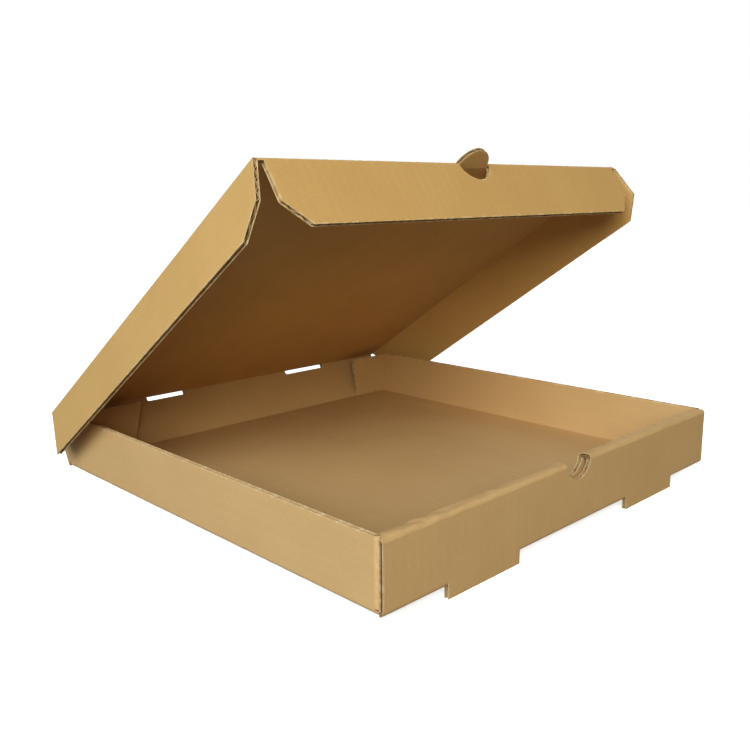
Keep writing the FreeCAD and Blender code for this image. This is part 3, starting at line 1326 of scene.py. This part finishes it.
@dataclass(frozen=True)
class BackWall:
    """Leaning back wall, its two creases and the slots of the upper one."""

    sizes: BoxSizes
    position: OpenPosition
    slot_start: float = 53.5
    slot_end: float = 97.5
    left_slot_end: float = 88.0
    slot_side: float = 3.2
    slot_corner: float = 1.5
    slot_steps: int = 3

    def panel(self) -> Panel:
        """The wall with its two slots.

        Returns:
            The panel.
        """
        half = self.sizes.half_width
        high = self.sizes.lid_crease.z - self.sizes.base_crease.z
        low = high - self.slot_side
        outline = [(half, high), (half, 0.0), (-half, 0.0), (-half, high)]
        slots = ((-self.left_slot_end, -self.slot_start), (self.slot_start, self.slot_end))
        for start, end in slots:
            first = (start + self.slot_corner, low + self.slot_corner)
            last = (end - self.slot_corner, low + self.slot_corner)
            outline.append((start, high))
            outline += arc(first, self.slot_corner, 180.0, 270.0, self.slot_steps)
            outline += arc(last, self.slot_corner, 270.0, 360.0, self.slot_steps)
            outline.append((end, high))
        place = frame_of(self.sizes.base_crease, X_AXIS, Z_AXIS, Y_AXIS)
        return Panel("back_wall_panel", outline, place, self.position.wall(),
                     OnBlank.BACK_WALL.value, folds_q=(0.0, high))

    def build(self, workshop: Workshop) -> None:
        """Builds the wall and both folds.

        Args:
            workshop: Holds the board and its materials.
        """
        sizes = self.sizes
        wall = self.panel().build(workshop)
        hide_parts("back_wall")
        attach(wall, Body.BACK_WALL.value)
        low = Fold("rear_bottom_fold", sizes.base_crease, X_AXIS, -Z_AXIS,
                   QUARTER - sizes.wall_lean, -sizes.half_width, sizes.half_width, UNTURNED)
        strip = low.build(workshop)
        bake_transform(strip, Body.TRAY.value, Body.BACK_WALL.value, *low.chord(workshop.board))
        spans = {"left": (-sizes.half_width, -self.left_slot_end),
                 "right": (self.slot_end, sizes.half_width),
                 "middle": (-self.slot_start, self.slot_start)}
        for name, span in spans.items():
            fold = Fold(f"{name}_lid_fold", sizes.lid_crease, X_AXIS, Y_AXIS,
                        QUARTER - sizes.lid_spread, *span, self.position.wall())
            strip = fold.build(workshop)
            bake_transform(strip, Body.BACK_WALL.value, Body.LID.value, *fold.chord(workshop.board))


@dataclass(frozen=True)
class Lid:
    """Lid panel with its thumb tab and its three flaps."""

    sizes: BoxSizes
    position: OpenPosition
    tab_half: float = 14.0
    tab_reach: float = 12.9
    hole_reach: float = 10.0
    tab_lift: float = 18.0
    tab_gap: float = 0.4
    front_flap_low: float = 3.7
    front_flap_play: float = 0.5
    front_flap_chamfer: float = 14.0
    side_flap_depth: float = 42.0
    side_flap_front_step: float = 0.5
    side_flap_rear_start: float = 2.5
    side_flap_rear_run: float = 17.0
    side_flap_chamfer: float = 15.0
    fold_overrun: float = 1.2
    fold_wrinkle: float = 0.06

    @property
    def front_half(self) -> float:
        """Half the front flap's length."""
        return self.sizes.inner_x - self.front_flap_play

    @property
    def flap_front_y(self) -> float:
        """Front end of the side flaps."""
        return self.sizes.front_flap_y + self.side_flap_front_step

    @property
    def flap_rear_y(self) -> float:
        """Rear end of the side flaps' creases."""
        return self.sizes.lid_crease.y - self.side_flap_rear_start

    def panel(self) -> Panel:
        """The lid's flat panel.

        Returns:
            The panel.
        """
        half = self.sizes.side_crease_x
        long = self.sizes.lid_crease.y - self.sizes.front_crease.y
        outline = [(-half, 0.0), (half, 0.0), (half, long), (-half, long)]
        place = frame_of(self.sizes.lid_crease, X_AXIS, -Y_AXIS, Z_AXIS)
        return Panel("lid_top_panel", outline, place, self.position.lid(),
                     OnBlank.LID.value, folds_p=(-half, half), folds_q=(0.0, long))

    def tab(self) -> Panel:
        """The round thumb tab, a little above the lid.

        Returns:
            The panel.
        """
        crease = self.sizes.front_crease
        turn = self.position.lid() @ about(crease, X_AXIS, -self.tab_lift)
        place = frame_of(crease, X_AXIS, -Y_AXIS, Z_AXIS)
        outline = RoundCut(self.tab_half, self.tab_reach).points()
        return Panel("thumb_tab", outline, place, turn, OnBlank.TAB.value, folds_q=(0.0,))

    def front_flap(self) -> Panel:
        """The front flap with the tab's hole.

        Returns:
            The panel.
        """
        half, cut = self.front_half, self.front_flap_chamfer
        deep = self.sizes.front_crease.z - self.front_flap_low
        hole = RoundCut(self.tab_half + self.tab_gap, self.hole_reach)
        outline = [(half, 0.0), *hole.points(), (-half, 0.0), (-half, deep - cut),
                   (-half + cut, deep), (half - cut, deep), (half, deep - cut)]
        place = frame_of(self.sizes.front_crease, X_AXIS, -Z_AXIS, -Y_AXIS)
        return Panel("lid_front_flap_panel", outline, place, self.position.lid(),
                     OnBlank.FRONT_FLAP.value, folds_q=(0.0,))

    def side_flap(self, side: Side) -> Panel:
        """A side flap with its chamfers.

        Args:
            side: Which flap.

        Returns:
            The panel.
        """
        deep = self.side_flap_depth - self.sizes.board
        front, rear, cut = -self.flap_front_y, -self.flap_rear_y, self.side_flap_chamfer
        outline = [(0.0, rear), (deep, rear + self.side_flap_rear_run), (deep, front - cut),
                   (deep - cut, front), (0.0, front)]
        origin = Vector((side.value * self.sizes.side_crease_x, 0, self.sizes.lid_crease.z))
        place = frame_of(origin, -Z_AXIS, -Y_AXIS, X_AXIS * side.value)
        return Panel(f"lid_{side.label}_flap_panel", outline, place,
                     self.position.side_flap(side), OnBlank.SIDE_FLAP.on(side), folds_p=(0.0,))

    def side_fold(self, side: Side) -> Fold:
        """Fold between the lid and a side flap, a quarter turn that the flap covers as it opens.

        Args:
            side: Which fold.

        Returns:
            The fold.
        """
        centre = Vector((side.value * self.sizes.side_crease_x, 0, self.sizes.lid_crease.z))
        return Fold(f"lid_{side.label}_fold", centre, Y_AXIS, Z_AXIS, QUARTER * side.value,
                    self.sizes.front_crease.y - self.fold_overrun, self.flap_rear_y,
                    self.position.lid(), along_flutes=True,
                    sizes=FoldSizes(wrinkle=self.fold_wrinkle))

    def front_folds(self) -> list[Fold]:
        """Fold between the lid and the front flap, left out at the tab.

        Returns:
            The strips on both sides of the tab.
        """
        reach = self.sizes.side_crease_x
        spans = {"left": (-reach, -self.tab_half), "right": (self.tab_half, reach)}
        return [Fold(f"lid_{name}_front_fold", self.sizes.front_crease, X_AXIS, Z_AXIS, QUARTER,
                     *span, self.position.lid()) for name, span in spans.items()]

    def build(self, workshop: Workshop) -> None:
        """Builds and places the lid's pieces.

        Args:
            workshop: Holds the board and its materials.
        """
        top = self.panel().build(workshop)
        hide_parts("lid_panel")
        front = self.front_flap().build(workshop)
        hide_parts("lid_front_flap")
        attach(top, Body.LID.value)
        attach(self.tab().build(workshop), Body.LID.value)
        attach(front, Body.FRONT_FLAP.value)
        for fold in self.front_folds():
            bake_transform(fold.build(workshop), Body.LID.value, Body.FRONT_FLAP.value,
                     *fold.chord(workshop.board))
        for side, body in ((Side.LEFT, Body.LEFT_FLAP), (Side.RIGHT, Body.RIGHT_FLAP)):
            flap = self.side_flap(side).build(workshop)
            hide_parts(f"lid_{side.label}_flap")
            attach(flap, body.value)
            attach(self.side_fold(side).build(workshop), Body.LID.value)


@dataclass(frozen=True)
class SoftLamp:
    """One square studio lamp, in metres and watts."""

    name: str
    place: Point3
    size: float
    power: float
    colour: Point3
    aim: Point3 = (0.0, 0.0, 0.05)

    def build(self) -> None:
        """Hangs the lamp."""
        data = bpy.data.lights.new(self.name, "AREA")
        data.size, data.energy, data.color = self.size, self.power, self.colour
        lamp = bpy.data.objects.new(self.name, data)
        lamp.location = self.place
        forward = Vector(self.aim) - Vector(self.place)
        lamp.rotation_euler = forward.to_track_quat("-Z", "Y").to_euler()
        bpy.context.scene.collection.objects.link(lamp)


@dataclass(frozen=True)
class Studio:
    """Pale floor, white surroundings, soft lamps and the camera, in metres."""

    floor_half: float = 6.0
    feet_z: float = -0.007
    feet_y: float = -0.1655
    rear_y: float = 0.1627
    ambient: Colour = WHITE
    ambient_strength: float = 0.095
    floor_bounce: Colour = (0.14, 0.14, 0.14, 1.0)
    floor_seen: Colour = (0.9, 0.9, 0.9, 1.0)
    glow_near: float = 0.7
    glow_far: float = 1.0
    glow_reach: Point2 = (0.45, 1.6)
    lamps: tuple[SoftLamp, ...] = (
        SoftLamp("side_lamp", place=(-1.9, -0.7, 1.2), size=1.2, power=40.5,
                 colour=(0.604, 0.795, 1.0)),
        SoftLamp("front_lamp", place=(-1.5, -1.4, 1.1), size=1.2, power=41.0,
                 colour=(1.0, 0.976, 0.744)),
        SoftLamp("back_lamp", place=(1.7, 1.5, 1.0), size=1.6, power=22.0, colour=(1.0, 1.0, 1.0)),
    )
    camera_place: Point3 = (-0.41498, -0.42165, 0.19347)
    camera_forward: Point3 = (0.68036, 0.70229, -0.20954)
    camera_roll: float = 0.63
    camera_lens: float = 40.38
    sensor_width: float = 36.0

    def floor(self) -> None:
        """Lays the floor under the feet and the base's rear edge."""
        mesh = bmesh.new()
        bmesh.ops.create_grid(mesh, x_segments=1, y_segments=1, size=self.floor_half)
        slope = math.degrees(math.atan2(-self.feet_z, self.rear_y - self.feet_y))
        bmesh.ops.translate(mesh, verts=mesh.verts, vec=(0, self.rear_y, 0))
        tilt = about(Vector((0, self.rear_y, 0)), X_AXIS, slope)
        bmesh.ops.transform(mesh, matrix=tilt, verts=mesh.verts)
        data = bpy.data.meshes.new("floor")
        mesh.to_mesh(data)
        mesh.free()
        data.materials.append(self.floor_material())
        made = bpy.data.objects.new("floor", data)
        bpy.context.scene.collection.objects.link(made)
        log.info("floor: tilted by %.2f degrees to the tray", slope)

    def seen(self, sheet: NodeSheet) -> NodeSocket:
        """1 for the camera's own, mirrored and see-through rays, and 0 for the rest.

        Args:
            sheet: Node layout to add to.

        Returns:
            The share's socket.
        """
        path = sheet.add("ShaderNodeLightPath")
        direct = sheet.maths("ADD", path.outputs["Is Camera Ray"], path.outputs["Is Glossy Ray"])
        return sheet.maths("ADD", direct, path.outputs["Is Transmission Ray"], clamp=True)

    def floor_material(self) -> Material:
        """Pale floor that gives little light back to the object but keeps its shadow.

        Returns:
            The new material.
        """
        material = bpy.data.materials.new("pale_floor")
        material.use_nodes = True
        sheet = NodeSheet(material.node_tree)
        shader = material.node_tree.nodes["Principled BSDF"]
        seen = self.seen(sheet)
        sheet.feed(shader.inputs["Base Color"], sheet.mix(seen, self.floor_bounce, self.floor_seen))
        shader.inputs["Roughness"].default_value = 1.0
        shader.inputs["Specular IOR Level"].default_value = 0.0
        shader.inputs["Emission Color"].default_value = WHITE
        spot = sheet.add("ShaderNodeTexCoord").outputs["Object"]
        away = sheet.add("ShaderNodeVectorMath", operation="LENGTH")
        sheet.feed(away.inputs[0], spot)
        glow = sheet.between(away.outputs["Value"], *self.glow_reach, self.glow_near, self.glow_far)
        glow = sheet.maths("MULTIPLY", seen, glow)
        sheet.feed(shader.inputs["Emission Strength"], glow)
        return material

    def world(self) -> None:
        """White to the camera, and soft plain light to the object."""
        world = bpy.data.worlds.new("studio")
        bpy.context.scene.world = world
        world.use_nodes = True
        sheet = NodeSheet(world.node_tree)
        background = world.node_tree.nodes["Background"]
        seen = self.seen(sheet)
        sheet.feed(background.inputs["Color"], sheet.mix(seen, self.ambient, WHITE))
        rest = sheet.maths("SUBTRACT", 1.0, seen)
        lit = sheet.maths("MULTIPLY", rest, self.ambient_strength)
        sheet.feed(background.inputs["Strength"], sheet.maths("ADD", lit, seen))

    def camera(self) -> None:
        """Sets up the camera at the photograph's place."""
        data = bpy.data.cameras.new("camera")
        data.lens, data.sensor_width = self.camera_lens, self.sensor_width
        camera = bpy.data.objects.new("camera", data)
        forward = Vector(self.camera_forward).normalized()
        level = forward.to_track_quat("-Z", "Y").to_matrix()
        roll = Matrix.Rotation(math.radians(self.camera_roll), 3, forward)
        camera.rotation_euler = (roll @ level).to_euler()
        camera.location = self.camera_place
        bpy.context.scene.collection.objects.link(camera)
        bpy.context.scene.camera = camera

    def build(self) -> None:
        """Builds the whole studio."""
        self.floor()
        self.world()
        for lamp in self.lamps:
            lamp.build()
        self.camera()
        bpy.context.scene.view_settings.view_transform = "Standard"


def main() -> None:
    """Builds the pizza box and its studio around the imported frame."""
    logging.basicConfig(level=logging.INFO, format="%(name)s: %(message)s")
    noise.seed_set(TEAR_SEED)
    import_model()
    sizes, board = BoxSizes(), CorrugatedBoard()
    position = OpenPosition(sizes)
    workshop = Workshop(BoardFinishes().materials(), board)
    lid_workshop = Workshop(LID_FINISHES.materials(), board)
    Tray(sizes).build(workshop)
    RearDustFlap(sizes, Side.LEFT, Body.LEFT_DUST,
                 top_length=59.0, bottom_length=51.5).build(workshop)
    RearDustFlap(sizes, Side.RIGHT, Body.RIGHT_DUST,
                 top_length=44.0, bottom_length=39.5).build(workshop)
    BackWall(sizes, position).build(workshop)
    Lid(sizes, position).build(lid_workshop)
    Studio().build()
    bpy.context.view_layer.update()


if __name__ == "__main__":
    main()
